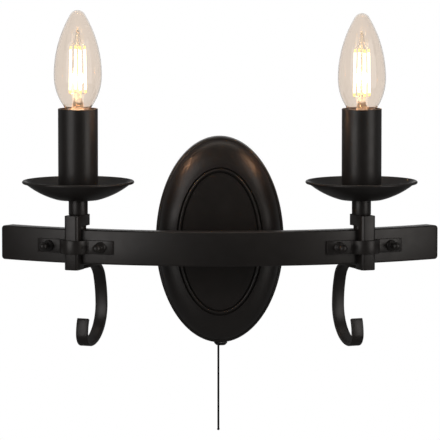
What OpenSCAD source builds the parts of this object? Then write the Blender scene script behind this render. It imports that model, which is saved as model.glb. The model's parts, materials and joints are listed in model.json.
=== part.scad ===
// Two-light wall lamp: an oval wall plate with a pull switch carries a curved bar,
// and each end of the bar carries a candle light on a clamp bracket with a scroll hook.
// The origin is on the wall plane, at the centre of the oval. +Z is up and -Y is into the room.

/* [Wall plate] */
// Half width of the oval plate
plate_a = 47.2; // [42:0.1:56]
// Half height of the oval plate
plate_b = 76.2; // [72:0.1:86]
// Depth of the straight side wall
plate_side = 14; // [13:0.5:17]
// Height of the domed band above the side wall
plate_rise = 11; // [9:0.5:14]
// Thickness of the pressed sheet
plate_wall = 1.2; // [0.8:0.1:1.6]
// Width of the domed band at the sides
band_a = 15.8; // [12:0.1:18]
// Width of the domed band at the ends
band_b = 22.6; // [19:0.1:25]
// Width of each groove round the flat field
groove_w = 1.4; // [1:0.1:1.8]
// Depth of each groove
groove_d = 0.8; // [0.4:0.1:1]
// Width of the bead between the two grooves
bead_w = 1.6; // [1.2:0.1:2.4]
// Radius of the rounded edge between side wall and band
rim_r = 2; // [1:0.1:3]

/* [Wall bracket] */
// Height of the strap that is screwed to the wall
strap_h = 18; // [14:1:22]
// Thickness of the steel strap
steel_t = 1.5; // [1.2:0.1:2]
// Length of each turned ear
ear_len = 11; // [9:0.5:12]
// Distance between the two wall screws
wall_pitch = 56; // [50:1:60]
// Length of each wall screw slot
slot_len = 14; // [8:1:16]
// Radius of a wall screw slot
slot_r = 2.3; // [1.8:0.1:2.6]
// Height of the tab that carries the terminal block
tab_top = 45; // [40:1:47]
// Width of the tab
tab_w = 30; // [26:1:34]
// Radius of the side screws
side_r = 2; // [1.5:0.1:2.4]
// Distance of the side screws from the wall
side_y = 7; // [5:0.5:8]

/* [Arm] */
// Outer radius of the arm tube
arm_r = 6.5; // [6:0.1:8]
// Radius of the hollow threaded rod in the arm
rod_r = 5; // [4:0.1:5.2]
// Radius of the bore for the wires in the rod
rod_bore = 3.5; // [3:0.1:3.8]

/* [Bar] */
// Radius of the bar's front face
bar_R = 275; // [250:1:320]
// Straight distance between the bar's two ends
bar_chord = 320; // [300:1:340]
// Distance of the bar's front face from the wall, at its middle
bar_reach = 79; // [74:0.5:90]
// Height of the bar
bar_h = 25; // [22:0.5:28]
// Thickness of the bar, front to back
bar_t = 12; // [11:0.5:14]
// Wall of the tube that the bar is made of
bar_wall = 1.5; // [1.2:0.1:1.8]
// Radius of the bar's long edges
bar_edge = 1.2; // [0.8:0.1:1.5]
// Radius of the corners at the bar's ends, seen from the front
bar_corner = 2.4; // [1.5:0.1:3]

/* [Candle light] */
// Distance of each candle from the middle plane
candle_x = 103; // [95:0.5:112]
// Thickness of the loose spacer on top of the bar
spacer_t = 2.1; // [1.5:0.1:3]
// Radius of the spacer
spacer_r = 5.8; // [5.2:0.1:5.9]
// Radius of the hollow threaded nipple
nipple_r = 4; // [3.5:0.1:4.2]
// Radius of the bore in the nipple
nipple_bore = 2.75; // [2.4:0.05:2.9]
// Radius of the stub tube under the pan
stub_r = 7; // [6:0.1:8]
// Height of the stub tube
stub_h = 11; // [8:0.5:16]
// Radius of the drip pan
pan_r = 40.8; // [36:0.1:46]
// Depth of the drip pan
pan_h = 13.8; // [11:0.1:17]
// Thickness of the pan's sheet
pan_wall = 1.2; // [0.8:0.1:1.6]
// Radius of the flat seat in the pan
pan_seat = 15.6; // [15.2:0.1:18]
// Radius of the rolled rim of the pan
pan_lip = 1.1; // [0.8:0.1:1.5]
// Outer radius of the candle tube
tube_r = 14.5; // [13.8:0.1:15]
// Wall of the candle tube
tube_wall = 0.9; // [0.6:0.1:1.1]
// Height of the candle tube
tube_h = 65; // [60:0.5:75]

/* [Bracket] */
// Width of the bracket's leg
leg_w = 10.8; // [9:0.1:12]
// Thickness of the leg
leg_t = 7.7; // [6:0.1:8.5]
// Depth of the block on top of the bar, front to back
block_d = 22.5; // [19:0.1:25]
// Height of the block
block_h = 8.2; // [6:0.1:10]
// Thickness of the foot under the bar
foot_t = 4.1; // [3.8:0.1:5]
// Chamfer along the leg's front edges
leg_edge = 1.6; // [1:0.1:2]

/* [Strap] */
// Height of the saddle strap
saddle_h = 10; // [8:0.5:12]
// Thickness of the saddle strap
saddle_t = 1.6; // [1.2:0.1:2]
// Half length of the strap along the bar
saddle_half = 30; // [28:0.5:33]
// Distance of each bolt from the middle of the strap
bolt_off = 20.5; // [19:0.5:22.5]
// Radius of the bolt's ball
ball_r = 3.2; // [2.6:0.1:3.6]
// Distance of the ball's centre from the bar
ball_out = 9.6; // [8:0.1:11]
// Radius of the bolt's shank
shank_r = 1.5; // [1.2:0.1:1.6]

/* [Hook] */
// Width of the hook's strip
hook_w = 9; // [7:0.5:10]
// Thickness of the strip
hook_t = 2.6; // [2:0.1:2.8]
// Straight run of the strip under the bar
hook_run = 25; // [23:0.5:27]
// Radius of the bend from the straight run to the hook's back
hook_top_r = 15; // [13:0.5:17]
// Radius of the hook's gently bowed back
hook_back_r = 63; // [58:1:68]
// Radius of the bend at the hook's lower end
hook_low_r = 27; // [25:0.5:29]
// Radius of the tight bend that turns the strip up again
hook_curl_r = 8; // [7:0.5:9]
// Radius of the curl at the hook's tip
hook_tip_r = 28; // [25:0.5:31]

/* [Bulb] */
// Radius of the bulb's glass
glass_r = 17.5; // [16:0.1:18]
// Height of the widest place above the candle tube
glass_mid = 25.3; // [24:0.1:27]
// Radius of the long curve from the widest place to the tip
glass_long = 80; // [70:1:100]
// Radius of the round tip
glass_tip = 5.2; // [4:0.1:6]
// Radius of the short curve below the widest place
glass_short = 48; // [44:1:52]
// Wall of the glass
glass_wall = 0.7; // [0.5:0.1:0.9]
// Radius of the screw cap
cap_r = 6.95; // [6.8:0.01:7]
// Length of the screw cap
cap_h = 22; // [21:0.5:24]
// How much less the left bulb is screwed in than the right one
left_lift = 2.3; // [0:0.1:3]
// Length of each filament
filament_h = 29; // [24:0.5:32]
// Radius of a filament
filament_r = 0.8; // [0.6:0.05:1]

/* [Pull switch] */
// Distance of the cord from the wall
cord_y = 8.4; // [8:0.1:9]
// Sideways offset of the switch nozzle
nozzle_x = 0.7; // [0:0.1:1]
// Sideways offset of the cord
cord_x = -1; // [-1.2:0.1:-0.8]
// Radius of the cord
cord_r = 0.65; // [0.5:0.05:0.7]
// Radius of the nozzle's flange
nozzle_r = 4.95; // [4.6:0.05:5.2]
// Height of the nozzle below the plate
nozzle_h = 2.3; // [1.8:0.1:3]
// Radius on which the cord runs over the drum
drum_r = 5.1; // [4.8:0.1:5.4]
// Radius of the bead at the cord's end
bead_r = 1.1; // [0.9:0.1:1.4]

/* [Hidden] */
$fn = 96;
// Gap between parts that touch or slide
gap = 0.3;
// Radial clearance of a pin in its hole
fit = 0.1;
// Radial clearance of a turning part on its spindle
run_fit = 0.05;
// Play between the wall strap's turned ears and the plate's side wall
ear_gap = 1;
// Play of the foot under the bar
foot_gap = 0.2;
eps = 0.5;

strap_len = 2 * (plate_a - plate_wall - ear_gap);
cable_z = 17;
cable_r = 6;
earth_x = -10.5;
side_head_r = 3.6;
side_head_h = 3.4;
slot_w = 0.8;
slot_d = 1.6;

arc_y = bar_R - bar_reach;
mid_R = bar_R - bar_t / 2;
half_turn = asin(bar_chord / 2 / bar_R);
candle_phi = asin(candle_x / mid_R);
bar_back = bar_reach - bar_t;

block_z = bar_h / 2 + spacer_t;
stub_z = block_z + block_h;
pan_z = stub_z + stub_h;
seat_z = pan_z + pan_wall;
top_z = seat_z + tube_h;
leg_face = bar_t / 2 + leg_t + fit;
foot_z = -bar_h / 2 - foot_t - foot_gap;

crown_turn = 75;
ear_bend = 2;
crown_gap = 1.25;
crown_r = (leg_face - bar_t / 2 + crown_gap) / (1 - cos(crown_turn)) - ear_bend;
crown_half = (crown_r + ear_bend) * sin(crown_turn);
crown_rise = (crown_r + ear_bend) * (1 - cos(crown_turn));

// The hook's bends, in degrees
hook_top_turn = 70;
hook_back_turn = 20;
hook_low_turn = 90;
hook_curl_turn = 90;
hook_tip_turn = 24;

// The pan's flank is an arc of radius dish_R about a point at height dish_z on the axis
dish_r = pan_r - pan_lip;
dish_h = pan_h - pan_lip;
dish_z = (pow(dish_r, 2) - pow(pan_seat, 2) + pow(dish_h, 2)) / (2 * dish_h);
dish_R = sqrt(pow(pan_seat, 2) + pow(dish_z, 2));

field_a = plate_a - band_a;
field_b = plate_b - band_b;
plate_front = plate_side + plate_rise;
field_back = plate_front - plate_wall;

nut_h = 4;
washer_t = 1.2;
rod_end = field_back - washer_t - nut_h - 1.5;
holder_z = seat_z + nut_h + gap;
holder_r = tube_r - tube_wall - 0.25;
glass_neck = cap_r;
cap_top = top_z + glass_mid - sqrt(pow(glass_short, 2) - pow(glass_short - glass_r + glass_neck, 2));
cap_low = cap_top - cap_h;
cap_wall = 0.35;
base_h = 3.2;
pitch = 2.82;
thread_d = 0.4;
shell_in = cap_r + gap;
shell_out = shell_in + thread_d + cap_wall;
shell_low = cap_low + 1;
shell_top = cap_top - 1.5;
holder_floor = cap_low - base_h - 2.4;
core_r = 0.95;
core_gap = 1.05;
core_side = 1.2;

// Height of the glass tip's centre above the widest place, and depth of the neck below it
tip_z = sqrt(pow(glass_long - glass_tip, 2) - pow(glass_long - glass_r, 2));
neck_drop = top_z + glass_mid - cap_top;
stem_r = 2;
stem_rise = 29;
flare_r = 5.9;
flare_top_r = 3;
flare_h = 9;
flare_lift = 1.5;
taper_h = 3;
rim_in = 5.2;
fil_low = top_z + glass_mid - 13;
fil_ring = 6.8;
fil_turn = 20;

black = [0.1, 0.1, 0.1];
brass = [0.75, 0.58, 0.25];
zinc = [0.7, 0.7, 0.72];
white = [0.9, 0.9, 0.88];

// Centre of the switch spindle: the cord's line is tangent to the drum
spin_x = cord_x + drum_r;
spin_z = -54;
case_x = nozzle_x;
case_hw = 12;
case_top = -44;
case_low = -62.5;
case_back = 2.2;
case_front = 14.6;
case_wall = 1.2;
cover_t = 1.2;
neck_r = 3.9;
neck_bore = 2.6;
nozzle_low = -plate_b - nozzle_h;
neck_low = -plate_b - 0.8;
drum_half = 2;
rotor_back = case_back + cover_t + gap;
rotor_front = cord_y - drum_half - gap;
lap_y = -2;
screw_y = 2.5;
block_x = 14;
block_low = 27;
block_top = 43;
block_front = 15.5;
lead_y = 9;
spring_wire = 0.25;
spring_r = 2.6;
spring_curls = 2;
spring_room = case_front - case_wall - cord_y - drum_half - 2 * gap - 2 * spring_wire;
LEAD_X = [8.5, 10.9];

// The pull cord's route: the points of its middle line, from the drum to its end
CORD_ROUTE = [for (i = [0 : 27]) [cord_x, -cord_y, -46 - 3.5 * i]];

// Puts its child on the bar's arc: turned by phi, with local -Y pointing out of the bar's front
module on_arc(phi, r) {
    translate([0, arc_y, 0]) rotate([0, 0, phi]) translate([0, -r, 0]) children();
}

// Puts its child on the candle's axis: side is -1 for the left one and 1 for the right one
module at_candle(side) {
    on_arc(side * candle_phi, mid_R) children();
}

module both_candles() {
    for (side = [-1, 1]) at_candle(side) children();
}

// A rectangle about the middle, with round corners
module round_rect(w, h, r) {
    square([w - 2 * r, h], center = true);
    square([w, h - 2 * r], center = true);
    for (x = [-1, 1]) for (y = [-1, 1]) translate([x * (w / 2 - r), y * (h / 2 - r)]) circle(r);
}

module ring(outer, inner, h) {
    difference() {
        cylinder(r = outer, h = h);
        translate([0, 0, -eps]) cylinder(r = inner, h = h + 2 * eps);
    }
}

module hex_nut(flats, bore, h) {
    difference() {
        cylinder(r = flats / 2 / cos(30), h = h, $fn = 6);
        translate([0, 0, -eps]) cylinder(r = bore, h = h + 2 * eps);
    }
}

// Turns a shape that is drawn along +Z so that it runs along -Y, into the room
module into_room() {
    rotate([90, 0, 0]) children();
}

// Points of an oval ring with half width a and half height b, at distance y from the wall
function oval(a, b, y, n) = [for (i = [0 : n - 1]) [a * cos(360 * i / n), -y, b * sin(360 * i / n)]];

// A closed skin through a list of oval rings, with a flat face at each end
module oval_shell(rings, n) {
    count = len(rings);
    points = [for (q = rings) each oval(q[0], q[1], q[2], n)];
    skin = [for (k = [0 : count - 2]) for (i = [0 : n - 1])
        each [[k * n + i, (k + 1) * n + (i + 1) % n, k * n + (i + 1) % n],
              [k * n + i, (k + 1) * n + i, (k + 1) * n + (i + 1) % n]]];
    first = [for (i = [0 : n - 1]) i];
    last = [for (i = [n - 1 : -1 : 0]) (count - 1) * n + i];
    polyhedron(points, concat([first, last], skin), convexity = 6);
}

// Height of the domed band, from its outer edge (t = 0) to the groove (t = 1)
function band_y(t) = plate_side + plate_rise * sin(90 * pow(t, 0.8));
function band_ring(t, drop) = [
    plate_a - rim_r - (band_a - rim_r) * t,
    plate_b - rim_r - (band_b - rim_r) * t,
    band_y(t) - drop];
band_steps = 9;

plate_out = concat(
    [[plate_a, plate_b, 0]],
    [for (w = [0 : 30 : 60]) let (inward = rim_r * (1 - cos(w)))
        [plate_a - inward, plate_b - inward, plate_side - rim_r * (1 - sin(w))]],
    [for (i = [0 : band_steps]) band_ring(i / band_steps, 0)]);

// The two grooves and the bead between them: [distance inward, depth below the field]
groove_steps = [
    [0.3 * groove_w, groove_d],
    [0.7 * groove_w, groove_d],
    [groove_w, 0],
    [groove_w + bead_w / 2, -0.25],
    [groove_w + bead_w, 0],
    [1.3 * groove_w + bead_w, groove_d],
    [1.7 * groove_w + bead_w, groove_d],
    [2 * groove_w + bead_w, 0],
];
plate_face = [for (g = groove_steps) [field_a - g[0], field_b - g[0], plate_front - g[1]]];
field_in = 2 * groove_w + bead_w;

// The inner face of the pressed sheet, from the flat field back to the wall
plate_under = [
    [field_a - field_in - 0.6, field_b - field_in - 0.6, field_back],
    [field_a - field_in, field_b - field_in, field_back - groove_d],
    band_ring(1, plate_wall + groove_d),
    band_ring(0.55, 1.25 * plate_wall),
    band_ring(0.2, 1.6 * plate_wall),
    [plate_a - plate_wall - 1, plate_b - plate_wall - 1, plate_side - 0.4],
    [plate_a - plate_wall, plate_b - plate_wall, plate_side - rim_r],
    [plate_a - plate_wall, plate_b - plate_wall, 0],
];

module backplate() {
    color(black) difference() {
        oval_shell(concat(plate_under, plate_out, plate_face), 72);
        translate([0, -field_back + eps, 0]) into_room()
            cylinder(r = rod_r + fit, h = plate_wall + 2 * eps);
        for (side = [-1, 1])
            translate([side * (plate_a - plate_wall - 1), -side_y, 0]) rotate([0, side * 90, 0])
                cylinder(r = side_r + fit, h = plate_wall + 2);
        translate([nozzle_x, -cord_y, -plate_b - 1]) cylinder(r = neck_r + fit, h = plate_wall + 2);
    }
}

module wall_bracket() {
    color(zinc) difference() {
        union() {
            translate([-strap_len / 2, -steel_t, -strap_h / 2]) cube([strap_len, steel_t, strap_h]);
            translate([-tab_w / 2, -steel_t, 0]) cube([tab_w, steel_t, tab_top]);
            for (side = [-1, 1]) translate([side * (strap_len - steel_t) / 2, -ear_len / 2, 0])
                cube([steel_t, ear_len, strap_h - 4], center = true);
        }
        for (side = [-1, 1]) translate([side * wall_pitch / 2, eps, 0]) into_room() slot_cut();
        for (side = [-1, 1])
            translate([side * (strap_len / 2 - steel_t - eps), -side_y, 0]) rotate([0, side * 90, 0])
                cylinder(r = side_r + fit, h = steel_t + 2 * eps);
        translate([0, eps, cable_z]) into_room() cylinder(r = cable_r, h = steel_t + 2 * eps);
        translate([earth_x, eps, cable_z]) into_room() cylinder(r = 2 + fit, h = steel_t + 2 * eps);
        translate([0, eps, (block_low + block_top) / 2]) into_room()
            cylinder(r = 1.5 + fit, h = steel_t + 2 * eps);
    }
}

module slot_cut() {
    linear_extrude(steel_t + 2 * eps) {
        square([slot_len - 2 * slot_r, 2 * slot_r], center = true);
        for (x = [-1, 1]) translate([x * (slot_len / 2 - slot_r), 0]) circle(slot_r);
    }
}

module side_screws() {
    color(black) for (side = [-1, 1])
        translate([side * (strap_len / 2 - steel_t - 2), -side_y, 0]) rotate([0, side * 90, 0]) {
            reach = plate_a - strap_len / 2 + steel_t + 2;
            cylinder(r = side_r, h = reach + 1);
            difference() {
                translate([0, 0, reach + fit]) cylinder(r = side_head_r, h = side_head_h);
                translate([0, 0, reach + side_head_h + fit])
                    cube([slot_w, 2 * side_head_r + 2 * eps, slot_d], center = true);
            }
        }
}

// A round-headed screw that points to the wall, with its head's seat at the origin
module pan_screw(r, length, head_r, head_h) {
    rotate([-90, 0, 0]) cylinder(r = r, h = length);
    difference() {
        into_room() cylinder(r1 = head_r, r2 = head_r * 0.75, h = head_h);
        translate([0, -head_h, 0]) cube([2 * head_r + 1, head_h, 0.8], center = true);
    }
}

module earth_screw() {
    color(brass) translate([earth_x, -steel_t, cable_z]) pan_screw(2, steel_t - 0.2, 3.8, 2.4);
}

module terminal_block() {
    color(white) difference() {
        translate([-block_x, -block_front, block_low])
            cube([2 * block_x, block_front - steel_t, block_top - block_low]);
        for (x = [-9, 9]) for (z = [block_low + 4, block_top - 4]) translate([x, -block_front + 5, z])
            into_room() cylinder(r = 2, h = 5 + eps);
        translate([0, eps, (block_low + block_top) / 2]) into_room()
            cylinder(r = 1.5 + fit, h = block_front + 1);
        translate([0, -block_front + 2, (block_low + block_top) / 2]) into_room()
            cylinder(r = 3, h = 2 + eps);
        for (x = [-4.5, 4.5]) translate([x, -block_front, (block_low + block_top) / 2])
            cube([1, 2, block_top - block_low + 1], center = true);
    }
}

module terminal_screws() {
    color(brass) {
        for (x = [-9, 9]) for (z = [block_low + 4, block_top - 4]) translate([x, -block_front + 5, z])
            into_room() difference() {
                cylinder(r = 1.85, h = 4.4);
                translate([0, 0, 4.4]) cube([4, 0.7, 1.4], center = true);
            }
        translate([0, -block_front + 2, (block_low + block_top) / 2])
            pan_screw(1.5, block_front - 2.3, 2.7, 1.7);
    }
}

module arm_tube() {
    color(black) translate([0, -plate_front, 0]) into_room()
        ring(arm_r, rod_r + fit, bar_back - plate_front - 0.15);
}

module arm_rod() {
    color(zinc) translate([0, -rod_end, 0]) into_room()
        ring(rod_r, rod_bore, bar_back + bar_wall + 0.8 - rod_end);
}

module arm_washer() {
    color(zinc) translate([0, -field_back + washer_t, 0]) into_room() ring(8.5, rod_r + fit, washer_t);
}

module arm_nut() {
    color(zinc) translate([0, -field_back + washer_t + nut_h, 0]) into_room()
        hex_nut(14, rod_r + fit, nut_h);
}

// A length of the bar's round-edged section, swept along the arc between two angles
module bar_sweep(from, to, inset) {
    translate([0, arc_y, 0]) rotate([0, 0, from - 90]) rotate_extrude(angle = to - from)
        translate([mid_R, 0]) round_rect(bar_t - 2 * inset, bar_h - 2 * inset, max(0.3, bar_edge - inset));
}

// Takes the corners off both ends of the bar, as seen from the front
module end_corners() {
    for (side = [-1, 1]) for (up = [-1, 1]) on_arc(side * half_turn, bar_R)
        scale_side(side, up) translate([-bar_corner, -2, bar_h / 2 - bar_corner]) difference() {
            cube([bar_corner + 1, bar_t + 4, bar_corner + 1]);
            translate([0, -1, 0]) rotate([-90, 0, 0]) cylinder(r = bar_corner, h = bar_t + 6);
        }
}

// Mirrors its child to the left end, or to the lower edge
module scale_side(side, up) {
    mirror([side < 0 ? 1 : 0, 0, 0]) mirror([0, 0, up < 0 ? 1 : 0]) children();
}

module bar() {
    color(black) difference() {
        bar_sweep(-half_turn, half_turn, 0);
        bar_sweep(-half_turn - 1, half_turn + 1, bar_wall);
        end_corners();
        translate([0, -bar_back + 1, 0]) into_room() cylinder(r = rod_r + fit, h = bar_wall + 2);
        both_candles() {
            translate([0, 0, bar_h / 2 - bar_wall - 1]) cylinder(r = nipple_r + fit, h = bar_wall + 2);
        }
        both_candles() translate([0, screw_y, -bar_h / 2 - 1])
            cylinder(r = shank_r + fit, h = bar_wall + 2);
        both_straps() translate([0, bar_wall + 1, 0]) into_room()
            cylinder(r = shank_r + fit, h = bar_wall + 2);
    }
}

module end_caps() {
    turn = bar_wall / bar_R * 180 / PI;
    color(black) difference() {
        for (side = [-1, 1]) bar_sweep(side * half_turn - (side > 0 ? turn : 0),
            side * half_turn + (side > 0 ? 0 : turn), bar_wall + fit);
        end_corners();
    }
}

// Puts its child at each of the four strap bolts, on the bar's front face
module both_straps() {
    for (side = [-1, 1]) for (off = [-1, 1])
        on_arc(side * candle_phi + off * bolt_off / bar_R * 180 / PI, bar_R) children();
}

// The wires: a twin core to each candle along the bar, and two cores from the switch
module lamp_leads() {
    color(white) {
        for (side = [-1, 1]) for (core = [-1, 1]) lamp_core(side, core);
        for (x = LEAD_X) translate([x, -lead_y, case_top]) cylinder(r = core_r, h = block_low - case_top);
    }
}

// The bend between two straight runs of a core
module elbow() {
    sphere(core_r + 0.08);
}

module lamp_core(side, core) {
    rise_y = core > 0 ? 14.1 : 12;
    z = core * core_gap;
    duct_y = bar_reach - bar_t / 2;
    start = asin(core_side / mid_R);
    stop = candle_phi - (core > 0 ? 1 : -1) * core_gap / mid_R * 180 / PI;
    translate([side * core_side, -rise_y, z]) {
        cylinder(r = core_r, h = block_low - z);
        elbow();
        into_room() cylinder(r = core_r, h = duct_y - rise_y);
    }
    on_arc(side * start, mid_R) translate([0, 0, z]) elbow();
    translate([0, arc_y, z]) rotate([0, 0, -90 + (side > 0 ? start : -stop)])
        rotate_extrude(angle = stop - start) translate([mid_R, 0]) circle(core_r);
    on_arc(side * stop, mid_R) translate([0, 0, z]) {
        elbow();
        cylinder(r = core_r, h = holder_floor - 2.5 - z);
    }
}

module spacers() {
    color(black) both_candles() translate([0, 0, bar_h / 2]) ring(spacer_r, nipple_r + fit, spacer_t);
}

module nipple_nuts() {
    color(zinc) both_candles() translate([0, 0, seat_z]) hex_nut(13, nipple_r + fit, nut_h);
}

module strap_bolts() {
    color(black) both_straps() {
        translate([0, 4, 0]) into_room() cylinder(r = shank_r, h = 4 + ball_out);
        translate([0, -saddle_t - 0.1, 0]) into_room() cylinder(r1 = 4.2, r2 = 2.4, h = 2.2);
        translate([0, -ball_out, 0]) sphere(ball_r);
    }
}

module hook_screws() {
    color(black) both_candles() translate([0, screw_y, foot_z + fit]) {
        cylinder(r = shank_r, h = foot_t + bar_wall + 1.5);
        cylinder(r1 = shank_r + 1.4, r2 = shank_r, h = 1.4);
    }
}

// Clamp bracket: a leg in front of the bar, with a block above it and a foot below it
module bracket(side) {
    color(black) at_candle(side) difference() {
        union() {
            translate([0, 0, foot_z]) linear_extrude(stub_z - foot_z) polygon([
                [-leg_w / 2, -bar_t / 2 - fit], [-leg_w / 2, -leg_face + leg_edge],
                [-leg_w / 2 + leg_edge, -leg_face], [leg_w / 2 - leg_edge, -leg_face],
                [leg_w / 2, -leg_face + leg_edge], [leg_w / 2, -bar_t / 2 - fit]]);
            for (plate = [[block_z, block_h], [foot_z, foot_t]])
                translate([-leg_w / 2, -leg_face + leg_edge, plate[0]])
                    cube([leg_w, block_d - leg_edge, plate[1]]);
        }
        translate([0, 0, block_z - 1]) cylinder(r = nipple_r + fit, h = block_h + 2);
        translate([-leg_w, lap_y, foot_z - 1]) cube([2 * leg_w, block_d, 1 + hook_t + fit]);
        translate([0, screw_y, foot_z - 1]) cylinder(r = shank_r + fit, h = foot_t + 2);
    }
}

// A flat round sector between two angles, for a bend in a strip
module bend(r, t, from, to) {
    difference() {
        circle(r + t / 2);
        circle(r - t / 2);
        far = 3 * (r + t);
        mid = (from + to) / 2;
        polygon([[0, 0], far * [cos(to), sin(to)], far * [cos(mid + 120), sin(mid + 120)],
            far * [cos(mid + 180), sin(mid + 180)], far * [cos(mid - 120), sin(mid - 120)],
            far * [cos(from), sin(from)]]);
    }
}

// Saddle strap: two ears on the bar and a round crown over the leg
module saddle(side) {
    color(black) difference() {
        on_arc(side * candle_phi, bar_R) translate([0, 0, -saddle_h / 2]) linear_extrude(saddle_h) {
            translate([0, -saddle_t / 2 - crown_rise + crown_r])
                bend(crown_r, saddle_t, -90 - crown_turn, -90 + crown_turn);
            for (s = [-1, 1]) translate([s * crown_half, -saddle_t / 2 - ear_bend])
                bend(ear_bend, saddle_t,
                    s > 0 ? 90 : 90 - crown_turn - 4, s > 0 ? 90 + crown_turn + 4 : 90);
            for (s = [-1, 1]) translate([0, bar_R]) difference() {
                circle(bar_R + saddle_t + 0.05, $fn = 400);
                circle(bar_R + 0.05, $fn = 400);
                ear_window(s);
            }
        }
        both_straps() translate([0, 1, 0]) into_room() cylinder(r = shank_r + fit, h = saddle_t + 2);
    }
}

// All of the ear's circle but the part from the crown to the strap's end
module ear_window(s) {
    from = (crown_half - 0.05) / bar_R * 180 / PI;
    to = saddle_half / bar_R * 180 / PI;
    far = 2 * bar_R;
    a = -90 + s * from;
    b = -90 + s * to;
    polygon([[0, 0], far * [cos(b), sin(b)], far * [cos(b + s * 90), sin(b + s * 90)],
        far * [cos(b + s * 180), sin(b + s * 180)], far * [cos(a - s * 90), sin(a - s * 90)],
        far * [cos(a), sin(a)]]);
}

// The hook's bends after its straight run: [radius, turn]
HOOK_BENDS = [
    [hook_top_r, hook_top_turn],
    [hook_back_r, hook_back_turn],
    [hook_low_r, hook_low_turn],
    [hook_curl_r, hook_curl_turn],
    [hook_tip_r, hook_tip_turn],
];

// The hook's middle line from the i-th bend on: [x, y, heading], turning to the right
function hook_line(x, y, heading, i) = i == len(HOOK_BENDS) ? [] : let (
    r = HOOK_BENDS[i][0],
    turn = HOOK_BENDS[i][1],
    n = ceil(turn / 4),
    points = [for (k = [1 : n]) let (a = heading - turn * k / n)
        [x + r * (sin(heading) - sin(a)), y - r * (cos(heading) - cos(a)), a]],
    last = points[n - 1])
    concat(points, hook_line(last[0], last[1], last[2], i + 1));

// One edge of a strip along a line of [x, y, heading]: out is the distance to its left
function strip_edge(line, out) = [for (q = line) [q[0] - out * sin(q[2]), q[1] + out * cos(q[2])]];

function reverse(list) = [for (i = [len(list) - 1 : -1 : 0]) list[i]];

module hook(side) {
    line = concat([[0, 0, 0]], [[hook_run, 0, 0]], hook_line(hook_run, 0, 0, 0));
    color(black) at_candle(side) difference() {
        translate([-hook_w / 2, lap_y + fit, foot_z + hook_t / 2]) rotate([90, 0, 90])
            linear_extrude(hook_w) polygon(
                concat(strip_edge(line, hook_t / 2), reverse(strip_edge(line, -hook_t / 2))));
        translate([0, screw_y, foot_z - 1]) cylinder(r = shank_r + fit, h = hook_t + 2);
        translate([0, screw_y, foot_z - 0.01])
            cylinder(r1 = shank_r + 1.4 + 2 * fit, r2 = shank_r + fit, h = 1.5);
    }
}

module stub(side) {
    color(black) at_candle(side) translate([0, 0, stub_z]) ring(stub_r, stub_r - 1.2, stub_h);
}

// Dished pan: a flat seat, a round flank and a rolled rim
module drip_pan(side) {
    color(black) at_candle(side) translate([0, 0, pan_z]) rotate_extrude() {
        translate([nipple_r + fit, 0]) square([pan_seat - nipple_r - fit + 0.1, pan_wall]);
        intersection() {
            translate([0, dish_z]) difference() {
                circle(dish_R);
                circle(dish_R - pan_wall);
            }
            translate([pan_seat, 0]) square([dish_r - pan_seat, dish_h + 0.2]);
        }
        translate([dish_r, dish_h]) circle(pan_lip);
    }
}

module candle_tube(side) {
    color(black) at_candle(side) translate([0, 0, seat_z]) ring(tube_r, tube_r - tube_wall, tube_h);
}

module nipple(side) {
    low = bar_h / 2 - bar_wall - 3;
    color(zinc) at_candle(side) translate([0, 0, low]) ring(nipple_r, nipple_bore, holder_z + 7 - low);
}

// The lampholder: a hollow stem on the nipple, and a cup that holds the thread shell
module lampholder(side) {
    cup_low = holder_floor - 4;
    color(white) at_candle(side) difference() {
        union() {
            translate([0, 0, holder_z]) cylinder(r = 6.5, h = cup_low - holder_z);
            translate([0, 0, cup_low - 6]) cylinder(r1 = 6.5, r2 = holder_r, h = 6);
            translate([0, 0, cup_low]) cylinder(r = holder_r, h = shell_top - cup_low);
        }
        translate([0, 0, holder_z - 1]) cylinder(r = nipple_r + fit, h = 8.5);
        translate([0, 0, holder_z]) cylinder(r = 3, h = holder_floor - 2.5 - holder_z);
        translate([0, 0, holder_floor]) cylinder(r = shell_out + fit, h = shell_top);
    }
}

// Radius of a rolled thread at height z, between its root and its crest
function thread_r(root, z) = root + thread_d / 2 * (1 - cos(360 * z / pitch));

module thread_shell(side) {
    steps = floor((shell_top - shell_low) / pitch * 6);
    inner = [for (i = [0 : steps]) [thread_r(shell_in, i * pitch / 6), i * pitch / 6]];
    outer = [for (i = [steps : -1 : 0]) [inner[i][0] + cap_wall, inner[i][1]]];
    color(brass) at_candle(side) translate([0, 0, shell_low]) rotate_extrude()
        polygon(concat(inner, outer));
}

// The sprung tongue under the bulb's tip
module contact(side) {
    top = cap_low - base_h + lift(side) - gap - holder_floor;
    color(brass) at_candle(side) translate([-2, 0, holder_floor]) rotate([90, 0, 90]) linear_extrude(4)
        polygon([[-7, 0], [-1, 0], [3, top - 0.5], [-3, top - 0.5], [-3, top], [4, top], [4, top - 0.5],
            [0, 0], [-1, 0], [-1, 0.001], [-7, 0.5]]);
}

function lift(side) = side < 0 ? left_lift : 0;

// The glass outline at distance w inside the outer face, from the neck to the tip
function glass_low(w, i, n) = let (
    last = asin(neck_drop / (glass_short - w)),
    a = -last * (1 - i / n))
    [glass_r - glass_short + (glass_short - w) * cos(a), (glass_short - w) * sin(a)];
function glass_up(w, i, n) = let (a = asin(tip_z / (glass_long - glass_tip)) * i / n)
    [glass_r - glass_long + (glass_long - w) * cos(a), (glass_long - w) * sin(a)];
function glass_end(w, i, n) = let (
    first = asin(tip_z / (glass_long - glass_tip)),
    a = first + (90 - first) * i / n)
    [(glass_tip - w) * cos(a), tip_z + (glass_tip - w) * sin(a)];
function glass_line(w) = concat(
    [for (i = [0 : 12]) glass_low(w, i, 12)],
    [for (i = [1 : 14]) glass_up(w, i, 14)],
    [for (i = [1 : 5]) glass_end(w, i, 5)]);

module at_bulb(side) {
    at_candle(side) translate([0, 0, lift(side)]) children();
}

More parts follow.
